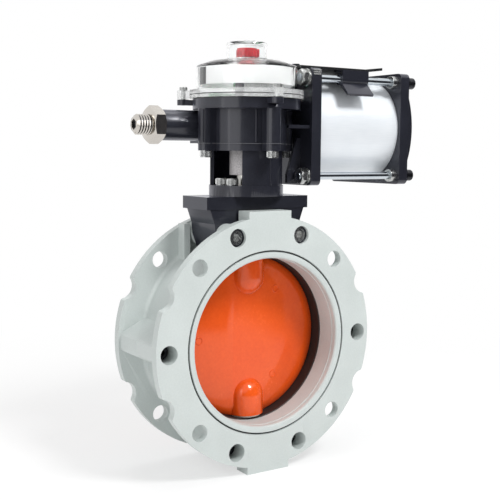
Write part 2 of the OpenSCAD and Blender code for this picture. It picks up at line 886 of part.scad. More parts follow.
module gear_housing() {
    color("#2a2c31")
        difference() {
            union() {
                stem_rod(chamber_out_r, gear_z, gear_top);
                for (a = [0:90:270])
                    rotate_ear(a)
                        ear(gear_z, gear_top);
                // Block round the rack, with its tube on the left
                translate([block_left, stem_y, gear_z])
                    cube([block_right - block_left, rack_offset + block_w / 2, gear_h]);
                x_rod(tube_r, -tube_end, block_left + 1);
                // Funnel that widens to the square head
                translate([head_x, rack_y, cyl_z])
                    rotate([0, 90, 0])
                        rotate_extrude()
                            polygon([for (p = funnel) [p[1], p[0]]]);
                head_slab(head_x, barrel_x, head_w, head_round);
                // Level rib and upright web on the near side of the funnel
                translate([chamber_out_r - 8, stem_y - web_y, cyl_z - web_t / 2])
                    cube([head_x - chamber_out_r + 9, web_y, web_t]);
                along_pipe(gusset_y, gusset_y + gusset_t)
                    polygon([[head_x + 1, head_bottom + gusset_low], [gusset_x, head_bottom + gusset_low],
                        [gusset_x, head_bottom + gusset_h], [head_x - 4, cyl_z - gusset_top],
                        [head_x + 1, cyl_z - gusset_top]]);
            }
            // Chamber of the pinion and its two bushes
            stem_rod(chamber_r, chamber_floor, chamber_roof);
            stem_rod(journal_r + journal_wall + run, gear_z - 1, gear_top + 1);
            // Bore of the rack, seat of its bush and thread of the stop screw
            x_rod(rack_r + loose, tube_cap - tube_end, head_x);
            x_rod(rack_bush_r + run, barrel_x - rack_bush_l, barrel_x + 1);
            x_rod(stop_d / 2 + run, -tube_end - 1, tube_cap - tube_end + 1);
            for (a = [0:90:270])
                stem_rod(m6_d / 2, gear_z - 1, gear_z + ear_thread, ear_at * cos(a), ear_at * sin(a));
            for (x = [-box_screw_x, box_screw_x], y = [-box_screw_y, box_screw_y])
                stem_rod(m4_d / 2, gear_top - box_thread, gear_top + 1, x, y);
            // Groove that takes the end of the barrel
            x_tube(barrel_r + run, barrel_in_r - run, barrel_x - barrel_seat, barrel_x + 1);
            head_cuts(head_x, barrel_x, barrel_x + 1);
            for (y = plate_screw_y)
                translate([(head_x + barrel_x) / 2, rack_y + y, cyl_z + head_w / 2 - plate_thread])
                    cylinder(d = m4_d, h = plate_thread + 1);
        }
}

// Angle of the involute at a radius, in degrees
function involute(base_r, r) =
    let (a = r > base_r ? acos(base_r / r) : 0)
    tan(a) * 180 / PI - a;

// Half the angle that a tooth spans at a radius
function tooth_half(r) =
    let (base_r = pitch_r * cos(20))
    90 / pinion_teeth + involute(base_r, pitch_r) - involute(base_r, r) - backlash * 45 / (PI * pitch_r);

// Outline of one pinion tooth, from below the root to the tip
tooth_radii = [root_r - 0.5, pitch_r - 1, pitch_r, pitch_r + 1, tip_r];
function tooth_points() = concat(
    [for (r = tooth_radii) r * [cos(tooth_half(r)), -sin(tooth_half(r))]],
    [for (i = [len(tooth_radii) - 1:-1:0]) tooth_radii[i] * [cos(tooth_half(tooth_radii[i])), sin(tooth_half(tooth_radii[i]))]]);

module pinion() {
    color("#8d9094")
        difference() {
            union() {
                translate([0, stem_y, gear_mid - gear_face / 2])
                    linear_extrude(gear_face) {
                        circle(r = root_r);
                        for (i = [0:pinion_teeth - 1])
                            rotate(i * 360 / pinion_teeth)
                                polygon(tooth_points());
                    }
                stem_rod(journal_r, gear_z + 0.5, gear_top - 0.5);
                translate([-drive_w / 2, stem_y - drive_w / 2, coupling_mid + 0.5])
                    cube([drive_w, drive_w, gear_z - coupling_mid + eps]);
            }
            // Socket for the indicator shaft
            stem_rod(indicator_r + run, gear_top - indicator_in, gear_top);
        }
}

module pinion_bush_lower() {
    color("#d9d4c4")
        stem_tube(journal_r + journal_wall, journal_r + run, gear_z, chamber_floor - loose);
}

module pinion_bush_upper() {
    color("#d9d4c4")
        stem_tube(journal_r + journal_wall, journal_r + run, chamber_roof + loose, gear_top);
}

module rack() {
    color("#9fa2a5")
        difference() {
            union() {
                difference() {
                    x_rod(rack_r, rack_left, piston_x - eps);
                    translate([rack_left - 1, stem_y, cyl_z - rack_r - 1])
                        cube([rack_flat_l + 1, rack_cut, 2 * rack_r + 2]);
                }
                x_rod(rack_spigot_r, piston_x - 1, piston_x + piston_t - piston_screw_head - 1);
            }
            // Gaps between the teeth
            for (i = [-2:rack_gaps])
                rack_gap(tooth_pitch * (i + 0.5));
            x_rod(piston_screw_d / 2, piston_x - 12, piston_x + piston_t);
        }
}

// One trapezium gap of the rack, open towards the pinion
module rack_gap(x) {
    half = tooth_pitch / 4 + backlash / 4;
    slope = tan(20);
    at_tip = half + (pitch_r - rack_cut) * slope;
    at_root = half - (rack_root - pitch_r) * slope;
    translate([x, stem_y, cyl_z - rack_r - 1])
        linear_extrude(2 * rack_r + 2)
            polygon([[-at_tip - slope, rack_cut - 1], [-at_root, rack_root], [at_root, rack_root],
                [at_tip + slope, rack_cut - 1]]);
}

module rack_bush() {
    color("#d9d4c4")
        x_tube(rack_bush_r, rack_r + run, barrel_x - rack_bush_l, barrel_x - rack_seal_l - 0.2);
}

module rack_seal() {
    color("#1c1c1e")
        x_tube(rack_bush_r, rack_r + 0.02, barrel_x - rack_seal_l, barrel_x - 0.2);
}

module piston() {
    mid = piston_x + piston_t / 2;
    color("#c9c5b8")
        difference() {
            x_rod(piston_r, piston_x, piston_x + piston_t);
            // Hollow faces that leave a rim, a web and a hub
            x_tube(piston_r - 6, hub_r, piston_x - 1, piston_x + piston_cup);
            x_tube(piston_r - 6, hub_r, piston_x + piston_t - piston_cup, piston_x + piston_t + 1);
            x_rod(rack_spigot_r + run, piston_x - 1, piston_x + piston_t - piston_screw_head);
            x_rod(piston_screw_head_r + loose, piston_x + piston_t - piston_screw_head, piston_x + piston_t + 1);
            // Grooves for the seal and the wear ring
            x_tube(piston_r + 1, piston_r - ring_deep, piston_x + 4, piston_x + 4 + ring_w);
            x_tube(piston_r + 1, piston_r - ring_deep, piston_x + piston_t - 4 - ring_w, piston_x + piston_t - 4);
        }
}

module piston_seal() {
    color("#1c1c1e")
        x_tube(barrel_in_r - 0.05, piston_r - ring_deep + 0.1, piston_x + 4.1, piston_x + 3.9 + ring_w);
}

module piston_wear_ring() {
    color("#e8e4d8")
        x_tube(barrel_in_r - 0.05, piston_r - ring_deep + 0.1, piston_x + piston_t - 3.9 - ring_w,
            piston_x + piston_t - 4.1);
}

module piston_screw() {
    color("#b9bab8")
        difference() {
            union() {
                x_rod(piston_screw_d / 2 - run, piston_x - 11, piston_x + piston_t - piston_screw_head);
                x_rod(piston_screw_head_r, piston_x + piston_t - piston_screw_head,
                    piston_x + piston_t - 0.5);
            }
            translate([piston_x + piston_t - piston_screw_head / 2, rack_y, cyl_z])
                rotate([0, 90, 0])
                    cylinder(d = piston_screw_d, h = piston_screw_head, $fn = 6);
        }
}

module barrel() {
    color("#dfe5ea")
        x_tube(barrel_r, barrel_in_r, barrel_x - barrel_seat + barrel_seal_t, rear_x + barrel_seat - barrel_seal_t);
}

module barrel_seals() {
    color("#1c1c1e") {
        x_tube(barrel_r, barrel_in_r, barrel_x - barrel_seat, barrel_x - barrel_seat + barrel_seal_t);
        x_tube(barrel_r, barrel_in_r, rear_x + barrel_seat - barrel_seal_t, rear_x + barrel_seat);
    }
}

module rear_head() {
    color("#2a2c31")
        difference() {
            union() {
                head_slab(rear_x, rear_end, head_w, head_round);
                crowned_pad();
            }
            x_tube(barrel_r + run, barrel_in_r - run, rear_x - 1, rear_x + barrel_seat);
            head_cuts(rear_x, rear_end, rear_x - 1);
        }
}

// Pad across the outer face of the rear head, with a crowned face
module crowned_pad() {
    rise = pad_high - pad_low;
    crown_r = (pad_half * pad_half + rise * rise) / (2 * rise);
    along_pipe(rack_y - head_w / 2 + pad_side, rack_y + head_w / 2 - pad_side)
        intersection() {
            translate([rear_end + pad_high - crown_r, cyl_z])
                circle(r = crown_r, $fn = 240);
            translate([rear_end - 1, cyl_z - pad_half])
                square([pad_high + 2, 2 * pad_half]);
        }
}

module at_rods() {
    for (y = [-rod_at, rod_at], z = [-rod_at, rod_at])
        translate([0, y, z])
            children();
}

module tie_rods() {
    color("#c9ccce")
        at_rods()
            x_rod(rod_r, head_x - nut_gap - nut_h - rod_past_nut, rear_end - 2);
}

module rod_collars() {
    color("#c9ccce")
        at_rods()
            x_tube(collar_r, rod_r + run, rear_x - collar_l - 0.05, rear_x);
}

module rod_washers() {
    color("#b9bab8")
        at_rods()
            x_tube(washer_out_r, rod_r + 0.2, head_x - nut_gap, head_x);
}

// Hexagonal nut along X, with a chamfer on each face
module x_nut(w, from_x, to_x, bore) {
    across = w / cos(30);
    translate([from_x, rack_y, cyl_z])
        rotate([0, 90, 0])
            difference() {
                intersection() {
                    cylinder(d = across, h = to_x - from_x, $fn = 6);
                    union() {
                        cylinder(d1 = w * 0.96, d2 = across, h = nut_bevel);
                        translate([0, 0, nut_bevel - eps])
                            cylinder(d = across, h = to_x - from_x - 2 * nut_bevel + 2 * eps);
                        translate([0, 0, to_x - from_x - nut_bevel])
                            cylinder(d1 = across, d2 = w * 0.96, h = nut_bevel);
                    }
                }
                translate([0, 0, -1])
                    cylinder(r = bore, h = to_x - from_x + 2);
            }
}

module rod_nuts() {
    color("#b9bab8")
        at_rods()
            x_nut(nut_w, head_x - nut_gap - nut_h, head_x - nut_gap, rod_r + run);
}

module rear_screws() {
    color("#8f9294")
        at_rods()
            difference() {
                union() {
                    x_rod(rod_r + screw_washer, rear_end, rear_end + rear_washer_t);
                    x_rod(screw_head_r, rear_end + rear_washer_t - eps, rear_end + rear_washer_t + screw_head_h);
                    x_rod(rod_r, rear_end - 1.9, rear_end + eps);
                }
                translate([rear_end + rear_washer_t + screw_head_h / 2, rack_y, cyl_z])
                    rotate([0, 90, 0])
                        cylinder(d = rod_d * 0.8, h = screw_head_h, $fn = 6);
            }
}

module stop_screw() {
    tip_x = rack_left - travel - 0.1;
    out_x = -tube_end - stop_nut_h - stop_out;
    color("#cfcac0")
        difference() {
            union() {
                x_rod(stop_d / 2, out_x + 1.5, tip_x);
                translate([out_x, rack_y, cyl_z])
                    rotate([0, 90, 0])
                        cylinder(d1 = stop_d - 3, d2 = stop_d, h = 1.5 + eps);
            }
            translate([out_x - 1, rack_y, cyl_z])
                rotate([0, 90, 0])
                    cylinder(d = stop_d * 0.55, h = 10, $fn = 6);
        }
}

module stop_nut() {
    color("#cfcac0")
        x_nut(stop_nut_w, -tube_end - stop_nut_h, -tube_end, stop_d / 2 + run);
}

module top_bracket() {
    plate_bottom = cyl_z + head_w / 2;
    color("#33343a")
        difference() {
            // Flat plate whose free end is folded a little upwards
            along_pipe(rack_y - bracket_w / 2, rack_y + bracket_w / 2)
                translate([0, plate_bottom])
                    polygon([[plate_x0, 0], [plate_fold, 0], [plate_x1, plate_rise],
                        [plate_x1, plate_rise + bracket_t], [plate_fold, bracket_t], [plate_x0, bracket_t]]);
            for (y = plate_screw_y)
                translate([(head_x + barrel_x) / 2, rack_y + y, plate_bottom - 1])
                    cylinder(d = m4_d + 0.5, h = bracket_t + 2);
        }
}

module top_bracket_screws() {
    color("#b9bab8")
        for (y = plate_screw_y)
            stem_screw((head_x + barrel_x) / 2, rack_offset + y, cyl_z + head_w / 2 + bracket_t,
                plate_thread + bracket_t - 1, m4_d, m4_head_d, m4_head_h);
}

module rod_clip() {
    z = cyl_z + rod_at;
    y = rack_y - rod_at;
    top = cyl_z + head_w / 2;
    color("#2c2e33")
        difference() {
            translate([clip_x, 0, 0])
                rotate([90, 0, 90])
                    linear_extrude(clip_l) {
                        translate([y, z])
                            circle(r = rod_r + clip_t);
                        translate([y - rod_r - clip_t, z])
                            square([clip_t, top - z]);
                        translate([y - rod_r - clip_t, top - clip_t])
                            square([rod_r + clip_t + 8, clip_t]);
                        polygon([[y + 1, z - rod_r - clip_t / 2], [y - rod_r, z - rod_r],
                            [y - flap_out, z - flap_drop + 1], [y - flap_out + 1, z - flap_drop - 0.8],
                            [y - 0.5, z - rod_r - clip_t]]);
                    }
            x_rod(rod_r + run, clip_x - 1, clip_x + clip_l + 1, -rod_at, rod_at);
        }
}

module switch_base() {
    color("#2c2e33")
        difference() {
            union() {
                stem_rod(box_r, base_z, base_top);
                for (a = lug_angles)
                    stem_rod(lug_r, base_top - lug_h, base_top, lug_at * cos(a), lug_at * sin(a));
                for (a = lug_angles)
                    rotate_ear(a)
                        translate([box_r - 4, stem_y - lug_r + relief, base_top - lug_h])
                            cube([lug_at - box_r + 4, 2 * lug_r - 2 * relief, lug_h - relief]);
            }
            difference() {
                stem_rod(box_r - 3.5, base_z + floor_t, base_top + 1);
                stem_rod(cam_boss_r, base_z, base_z + floor_t + cam_boss_h);
            }
            stem_rod(indicator_r + 1, base_z - 1, base_top + 1);
            for (a = lug_angles)
                stem_rod(lug_screw_d / 2, base_top - lug_h - 1, base_top + 1, lug_at * cos(a), lug_at * sin(a));
            for (x = [-box_screw_x, box_screw_x], y = [-box_screw_y, box_screw_y])
                stem_rod(m4_d / 2 + 0.25, base_z - 1, base_top + 1, x, y);
        }
}

module base_gasket() {
    color("#1c1c1e")
        stem_tube(box_r - 0.5, box_r - 3, base_top, rim_z);
}

module base_screws() {
    color("#b9bab8")
        for (x = [-box_screw_x, box_screw_x], y = [-box_screw_y, box_screw_y])
            stem_screw(x, y, base_z + floor_t, floor_t + box_thread - 1, m4_d, m4_head_d, m4_head_h);
}

module clear_cover() {
    color([0.85, 0.9, 0.92, 0.35])
        difference() {
            union() {
                translate([0, stem_y, 0])
                    rotate_extrude()
                        difference() {
                            cover_profile(0);
                            cover_profile(cover_wall);
                        }
                for (a = lug_angles)
                    difference() {
                        union() {
                            stem_rod(lug_r, rim_z, rim_top, lug_at * cos(a), lug_at * sin(a));
                            rotate_ear(a)
                                translate([cover_rim_d / 2 - 3, stem_y - lug_r + relief, rim_z + relief])
                                    cube([lug_at - cover_rim_d / 2 + 3, 2 * lug_r - 2 * relief,
                                        cover_rim_t - 2 * relief]);
                        }
                        stem_rod(lug_screw_d / 2 + 0.3, rim_z - 1, rim_top + 1, lug_at * cos(a), lug_at * sin(a));
                    }
            }
        }
}

// Half section of the cover: rim, wall, sloped shoulder and dome, each moved in by a wall
module cover_profile(t) {
    in_z = t > 0 ? t : 0;
    polygon([[0, rim_z - (t > 0 ? 1 : 0)],
        [t > 0 ? cover_in_r : cover_rim_d / 2, rim_z - (t > 0 ? 1 : 0)],
        [t > 0 ? cover_in_r : cover_rim_d / 2, rim_top],
        [cover_r - t, rim_top],
        [cover_r - t, wall_top - in_z * 0.4],
        [cover_r - t - 1, wall_top + 1 - in_z * 0.6],
        [cover_r - t - 12, roof_z - 1.5 - in_z],
        [dome_r + (t > 0 ? -t : 1), roof_z - in_z],
        [dome_r - t, roof_z + (t > 0 ? -t : 1)],
        [dome_r - t - 0.3, dome_top - dome_round],
        [dome_r - t - 1.2, dome_top - 1 - in_z],
        [dome_r - t - 4, dome_top - in_z],
        [0, dome_top - in_z]]);
}

module cover_screws() {
    color("#c9ccce")
        for (a = lug_angles)
            stem_screw(lug_at * cos(a), lug_at * sin(a), rim_top, cover_rim_t + gasket_t + lug_h - 0.5,
                lug_screw_d, 2 * lug_head_r, 3);
}

module scale_card() {
    color("#f2f2ee")
        stem_tube(cover_in_r - loose, cover_in_r - loose - card_t, card_z, wall_top - card_sink);
}

module indicator_shaft() {
    color("#c3c4c2")
        stem_rod(indicator_r, gear_top - indicator_in + 0.5, shaft_top);
}

// Cam on the indicator shaft, with a raised lobe that trips its sensor
module cam(z, lobe_angle) {
    difference() {
        union() {
            stem_rod(cam_r, z, z + cam_t);
            translate([0, stem_y, z])
                rotate(lobe_angle)
                    linear_extrude(cam_t)
                        intersection() {
                            circle(r = cam_lobe_r);
                            polygon([[0, 0], [lobe_reach, -lobe_half], [lobe_reach, lobe_half]]);
                        }
        }
        stem_rod(indicator_r + 0.02, z - 1, z + cam_t + 1);
    }
}

module lower_cam() {
    color("#3a62a8")
        cam(lower_cam_z, 270);
}

module upper_cam() {
    color("#3c8c50")
        cam(upper_cam_z, 180);
}

// Sensor block beside a cam, with its plunger face towards the shaft
module sensor(z) {
    translate([-sensor_w / 2, sensor_back, z])
        cube([sensor_w, sensor_depth, sensor_h]);
}

module lower_sensor() {
    color("#26272a")
        sensor(lower_cam_z - sensor_sink);
}

module upper_sensor() {
    color("#26272a")
        sensor(upper_cam_z - sensor_sink);
}

module sensor_bracket() {
    low = base_z + floor_t;
    color("#b9bab8") {
        translate([-sensor_w / 2, sensor_back - sensor_plate_t, low])
            cube([sensor_w, sensor_plate_t, upper_cam_z + sensor_h - sensor_sink - low]);
        translate([-sensor_w / 2, sensor_back, low])
            cube([sensor_w, sensor_depth, lower_cam_z - sensor_sink - low]);
    }
}

module terminal_block() {
    color("#3f9a5f")
        difference() {
            translate([-terminal_l / 2, stem_y + terminal_y, base_z + floor_t])
                cube([terminal_l, terminal_w, terminal_h]);
            for (i = [-2.5:2.5])
                stem_rod(1.8, base_z + floor_t + terminal_h - 3, base_z + floor_t + terminal_h + 1,
                    i * terminal_l / 6.4, terminal_y + terminal_w / 2);
        }
}

module red_knob() {
    z = roof_z + 1.2;
    color("#d8203a")
        difference() {
            union() {
                stem_rod(knob_d / 2, z + 1.5, z + knob_h);
                stem_rod(knob_d / 2 - 3, z, z + 1.5 + eps);
                translate([0, stem_y - 3, z + 2])
                    cube([knob_d / 2 + 2.5, 6, knob_h - 2]);
            }
            stem_rod(indicator_r + 0.02, z - 1, shaft_top + 0.1);
        }
}

body_front();
body_rear();
seat_ring();
disc();
upper_stem();
lower_stem();
stem_pins();
upper_bush();
lower_bush();
stem_seals();
thrust_washers();
body_screws();
bracket_screws();
column();
column_bush();
column_base_screws();
column_top_screws();
coupling();
gear_housing();
pinion();
pinion_bush_lower();
pinion_bush_upper();
rack();
rack_bush();
rack_seal();
piston();
piston_seal();
piston_wear_ring();
piston_screw();
barrel();
barrel_seals();
rear_head();
tie_rods();
rod_collars();
rod_nuts();
rod_washers();
rear_screws();
stop_screw();
stop_nut();
top_bracket();
top_bracket_screws();
rod_clip();
switch_base();
base_gasket();
base_screws();
clear_cover();
cover_screws();
scale_card();
indicator_shaft();
lower_cam();
upper_cam();
lower_sensor();
upper_sensor();
sensor_bracket();
terminal_block();
red_knob();
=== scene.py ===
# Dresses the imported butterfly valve, section by section, in the order in which it is put together
import math
import bmesh
import bpy
from mathutils import Matrix, Vector


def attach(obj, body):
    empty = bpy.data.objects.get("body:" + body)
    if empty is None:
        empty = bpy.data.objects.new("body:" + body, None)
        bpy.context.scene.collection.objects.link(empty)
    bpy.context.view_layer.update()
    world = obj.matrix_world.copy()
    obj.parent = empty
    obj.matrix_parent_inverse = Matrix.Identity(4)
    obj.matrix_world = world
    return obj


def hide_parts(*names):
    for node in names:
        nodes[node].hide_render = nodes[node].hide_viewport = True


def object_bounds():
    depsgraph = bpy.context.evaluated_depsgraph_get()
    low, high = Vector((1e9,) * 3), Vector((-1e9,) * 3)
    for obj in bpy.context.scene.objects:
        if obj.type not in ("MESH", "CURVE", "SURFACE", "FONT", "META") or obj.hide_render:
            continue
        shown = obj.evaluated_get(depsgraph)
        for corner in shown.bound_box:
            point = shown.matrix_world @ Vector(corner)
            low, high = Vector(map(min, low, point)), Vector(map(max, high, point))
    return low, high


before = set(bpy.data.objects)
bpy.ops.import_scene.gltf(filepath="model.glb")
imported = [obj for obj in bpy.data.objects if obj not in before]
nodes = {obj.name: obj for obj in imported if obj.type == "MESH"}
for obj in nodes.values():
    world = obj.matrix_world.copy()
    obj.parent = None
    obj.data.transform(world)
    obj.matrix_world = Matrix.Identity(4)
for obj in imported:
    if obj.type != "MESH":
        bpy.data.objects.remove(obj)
cad_low, cad_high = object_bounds()
scene = bpy.context.scene

# Body castings
# Two die-cast aluminium halves, bolted face to face, with a pale grey-green powder coat. Casting rounds
# every edge, and the coat leaves a faint orange peel on flat faces, drawn coarse enough to show.
MM = 0.001
VALVE, STEM = "valve_body", "stem_and_disc"
# Size of the wide patches in which every finish shifts a little
PATCH_MM = 35
# How near two corners of a CAD node's triangles are joined, and how flat an edge between them is dropped
JOIN_MM = 0.004
FLAT_UP_TO = math.radians(0.4)
# Edges above the first angle shade sharp, and those above the second get a rounding
SMOOTH_UP_TO = math.radians(35)
ROUNDED_FROM = math.radians(32)


def linear(code):
    """Linear colour, with alpha 1, of an sRGB hex code."""
    parts = [int(code[i:i + 2], 16) / 255 for i in (0, 2, 4)]
    return [p / 12.92 if p <= 0.04045 else ((p + 0.055) / 1.055) ** 2.4 for p in parts] + [1.0]


def add_node(tree, kind, inputs=None, **settings):
    """Adds a node with its settings. An input's value is a number, a colour or a socket to link from."""
    made = tree.nodes.new(kind)
    for name, value in settings.items():
        setattr(made, name, value)
    for name, value in (inputs or {}).items():
        socket = made.inputs[name]
        if isinstance(value, bpy.types.NodeSocket):
            tree.links.new(value, socket)
        else:
            socket.default_value = value
    return made


def new_finish(name, **sockets):
    """A material with a Principled shader, constants set straight on its sockets, and Object coordinates."""
    finish = bpy.data.materials.new(name)
    finish.use_nodes = True
    tree = finish.node_tree
    tree.nodes.clear()
    shader = add_node(tree, "ShaderNodeBsdfPrincipled")
    for socket, value in sockets.items():
        shader.inputs[socket.replace("_", " ")].default_value = value
    add_node(tree, "ShaderNodeOutputMaterial", {"Surface": shader.outputs[0]})
    place = add_node(tree, "ShaderNodeTexCoord").outputs["Object"]
    return finish, tree, shader, place


def mottled(name, dark, light, grain_mm, rough, bump_mm, stretch=(1, 1, 1), **sockets):
    """A finish whose colour, roughness and height follow one noise, with grains of a size in mm.

    A small factor in stretch draws the grains out along that axis, as lines from grinding or drawing.
    Grit, pores and lines finer than about half a millimetre are drawn that coarse, so that they show.
    """
    finish, tree, shader, place = new_finish(name, **sockets)
    drawn_out = add_node(tree, "ShaderNodeMapping", {"Vector": place, "Scale": stretch})
    grain = add_node(tree, "ShaderNodeTexNoise", {
        "Vector": drawn_out.outputs[0], "Scale": 1 / (grain_mm * MM), "Detail": 3.0, "Roughness": 0.55})
    patch = add_node(tree, "ShaderNodeTexNoise", {
        "Vector": place, "Scale": 1 / (PATCH_MM * MM), "Detail": 2.0})
    both = add_node(tree, "ShaderNodeMath", {0: grain.outputs[0], 1: patch.outputs[0]}, operation="ADD")
    even = add_node(tree, "ShaderNodeMapRange", {"Value": both.outputs[0], "From Min": 0.7, "From Max": 1.3})
    colour = add_node(tree, "ShaderNodeMix", {"Factor": even.outputs[0]}, data_type="RGBA")
    colour.inputs[6].default_value = linear(dark)
    colour.inputs[7].default_value = linear(light)
    sheen = add_node(tree, "ShaderNodeMapRange", {
        "Value": even.outputs[0], "To Min": rough[0], "To Max": rough[1]})
    relief = add_node(tree, "ShaderNodeBump", {
        "Height": grain.outputs[0], "Distance": bump_mm * MM, "Strength": 1.0})
    tree.links.new(colour.outputs[2], shader.inputs["Base Color"])
    tree.links.new(sheen.outputs[0], shader.inputs["Roughness"])
    tree.links.new(relief.outputs[0], shader.inputs["Normal"])
    return finish


def wear(obj, finish):
    """Gives an object one finish in place of what it had."""
    obj.data.materials.clear()
    obj.data.materials.append(finish)


def from_mesh(bm, name, finish):
    """Makes an object at the origin from a bmesh, with its finish."""
    mesh = bpy.data.meshes.new(name)
    bm.to_mesh(mesh)
    bm.free()
    obj = bpy.data.objects.new(name, mesh)
    scene.collection.objects.link(obj)
    mesh.shade_smooth()
    mesh.set_sharp_from_angle(angle=SMOOTH_UP_TO)
    wear(obj, finish)
    return obj


def rounded(node, name, finish, body, edge_mm, steps=2):
    """A copy of a CAD node with joined triangles and rounded edges, which stands in for the node."""
    bm = bmesh.new()
    bm.from_mesh(nodes[node].data)
    bmesh.ops.remove_doubles(bm, verts=bm.verts, dist=JOIN_MM * MM)
    bmesh.ops.dissolve_limit(bm, angle_limit=FLAT_UP_TO, verts=bm.verts, edges=bm.edges)
    obj = from_mesh(bm, name, finish)
    if edge_mm:
        # The width is the most a piece gets. Blender clamps it by the shortest edges, so almost none is left
        # on pieces with very short ones, such as the castings, the disc, the column and the gear housing.
        bevel = obj.modifiers.new("edge", "BEVEL")
        bevel.width = edge_mm * MM
        bevel.segments = steps
        bevel.limit_method = "ANGLE"
        bevel.angle_limit = ROUNDED_FROM
        bevel.harden_normals = True
        bevel.miter_outer = "MITER_ARC"
    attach(obj, body)
    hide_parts(node)
    return obj


powder_coat = mottled("powder coated die cast aluminium", "bcc3c1", "c5ccca", grain_mm=1.6,
                      rough=(0.36, 0.46), bump_mm=0.03,
                      Specular_IOR_Level=0.5, Coat_Weight=0.12, Coat_Roughness=0.25)
for half in ("body_front", "body_rear"):
    rounded(half, half + "_casting", powder_coat, VALVE, edge_mm=0.8)

# Seat
# Moulded nitrile rubber band in the groove between the two halves. The disc closes on its lip.
# It is brown black and dull, with a slight bloom.
nitrile = mottled("moulded nitrile rubber", "1d1614", "2b211e", grain_mm=0.8,
                  rough=(0.5, 0.65), bump_mm=0.02)
wear(nodes["seat_ring"], nitrile)

# Disc
# Cast ductile iron, dished, with a stem boss at each end, and sprayed with orange epoxy.
# The coat is glossy and runs over the small rings that are cast into the face.
epoxy = mottled("sprayed orange epoxy enamel", "e24e10", "ec5a18", grain_mm=2.2,
                rough=(0.2, 0.28), bump_mm=0.03,
                Specular_IOR_Level=0.35, Specular_Tint=linear("ffb48c"), Coat_Weight=0.9, Coat_Roughness=0.13)
rounded("disc", "enamelled_disc", epoxy, STEM, edge_mm=0.6)


def grown(name, seeds, sizes, build, finish, body):
    """Runs a Geometry Nodes tree over seed points in mm, and keeps the result as one plain mesh.

    sizes are the tree's named inputs, and build(tree, sockets) returns the geometry to finish.
    """
    tree = bpy.data.node_groups.new(name, "GeometryNodeTree")
    tree.interface.new_socket("Geometry", in_out="INPUT", socket_type="NodeSocketGeometry")
    tree.interface.new_socket("Geometry", in_out="OUTPUT", socket_type="NodeSocketGeometry")
    codes = {}
    for label, value in sizes.items():
        kind = "NodeSocketInt" if isinstance(value, int) else "NodeSocketFloat"
        codes[label] = tree.interface.new_socket(label, in_out="INPUT", socket_type=kind).identifier
    given = tree.nodes.new("NodeGroupInput")
    real = add_node(tree, "GeometryNodeRealizeInstances", {"Geometry": build(tree, given.outputs)})
    dressed = add_node(tree, "GeometryNodeSetMaterial", {"Geometry": real.outputs[0], "Material": finish})
    add_node(tree, "NodeGroupOutput", {"Geometry": dressed.outputs[0]})
    mesh = bpy.data.meshes.new(name + "_seeds")
    mesh.from_pydata([Vector(seed) * MM for seed in seeds], [], [])
    obj = bpy.data.objects.new(name, mesh)
    scene.collection.objects.link(obj)
    modifier = obj.modifiers.new("grow", "NODES")
    modifier.node_group = tree
    for label, value in sizes.items():
        modifier[codes[label]] = value
    made = bpy.data.meshes.new_from_object(obj.evaluated_get(bpy.context.evaluated_depsgraph_get()))
    obj.modifiers.remove(modifier)
    obj.data = made
    made.shade_smooth()
    made.set_sharp_from_angle(angle=SMOOTH_UP_TO)
    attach(obj, body)


RING_STEPS, WIRE_SIDES = 96, 8


def ring_mark(tree, sockets):
    """A thin round ring on each seed, level or tilted about the cylinder's direction."""
    path = add_node(tree, "GeometryNodeCurvePrimitiveCircle", {
        "Resolution": RING_STEPS, "Radius": sockets["Ring Radius"]})
    wire = add_node(tree, "GeometryNodeCurvePrimitiveCircle", {
        "Resolution": WIRE_SIDES, "Radius": sockets["Wire Radius"]})
    ring = add_node(tree, "GeometryNodeCurveToMesh", {
        "Curve": path.outputs[0], "Profile Curve": wire.outputs[0]})
    tilt = add_node(tree, "ShaderNodeCombineXYZ", {"X": sockets["Tilt"]})
    tilted = add_node(tree, "GeometryNodeTransform", {
        "Geometry": ring.outputs[0], "Rotation": tilt.outputs[0]})
    return add_node(tree, "GeometryNodeInstanceOnPoints", {
        "Points": sockets["Geometry"], "Instance": tilted.outputs[0]}).outputs[0]


LEVEL, UPRIGHT = 0.0, math.radians(90)
DISC_FACE_Y = 34.0
EJECTOR_PINS = [(-52, 1), (27, -38), (29, 42)]
grown("ejector_marks", [(x, DISC_FACE_Y, z) for x, z in EJECTOR_PINS],
      {"Ring Radius": 3.2 * MM, "Wire Radius": 0.5 * MM, "Tilt": UPRIGHT}, ring_mark, epoxy, STEM)

# Pipe faces
# A thin dark ring in the O-ring rubber finish lies in the groove round each pipe face. It is painted shade
# that draws the groove as a dull black line. A low bead is cast round each bore and wears the body's own
# coat, so that it shows as a fine bright line.
FACE_TO_FACE = 80.0
GROOVE_SHADE_Y, BEAD_Y = 1.2, 7.0
seal_nitrile = mottled("nitrile O-ring rubber", "161617", "222223", grain_mm=0.6,
                       rough=(0.4, 0.55), bump_mm=0.01)
# Dark rings in the pipe faces' grooves: painted shade
grown("lip_groove_shade_rings", [(0, y, 0) for y in (GROOVE_SHADE_Y, FACE_TO_FACE - GROOVE_SHADE_Y)],
      {"Ring Radius": 81.4 * MM, "Wire Radius": 0.5 * MM, "Tilt": UPRIGHT}, ring_mark, seal_nitrile, VALVE)
grown("bore_beads", [(0, y, 0) for y in (BEAD_Y, FACE_TO_FACE - BEAD_Y)],
      {"Ring Radius": 75.1 * MM, "Wire Radius": 0.55 * MM, "Tilt": UPRIGHT}, ring_mark, powder_coat, VALVE)

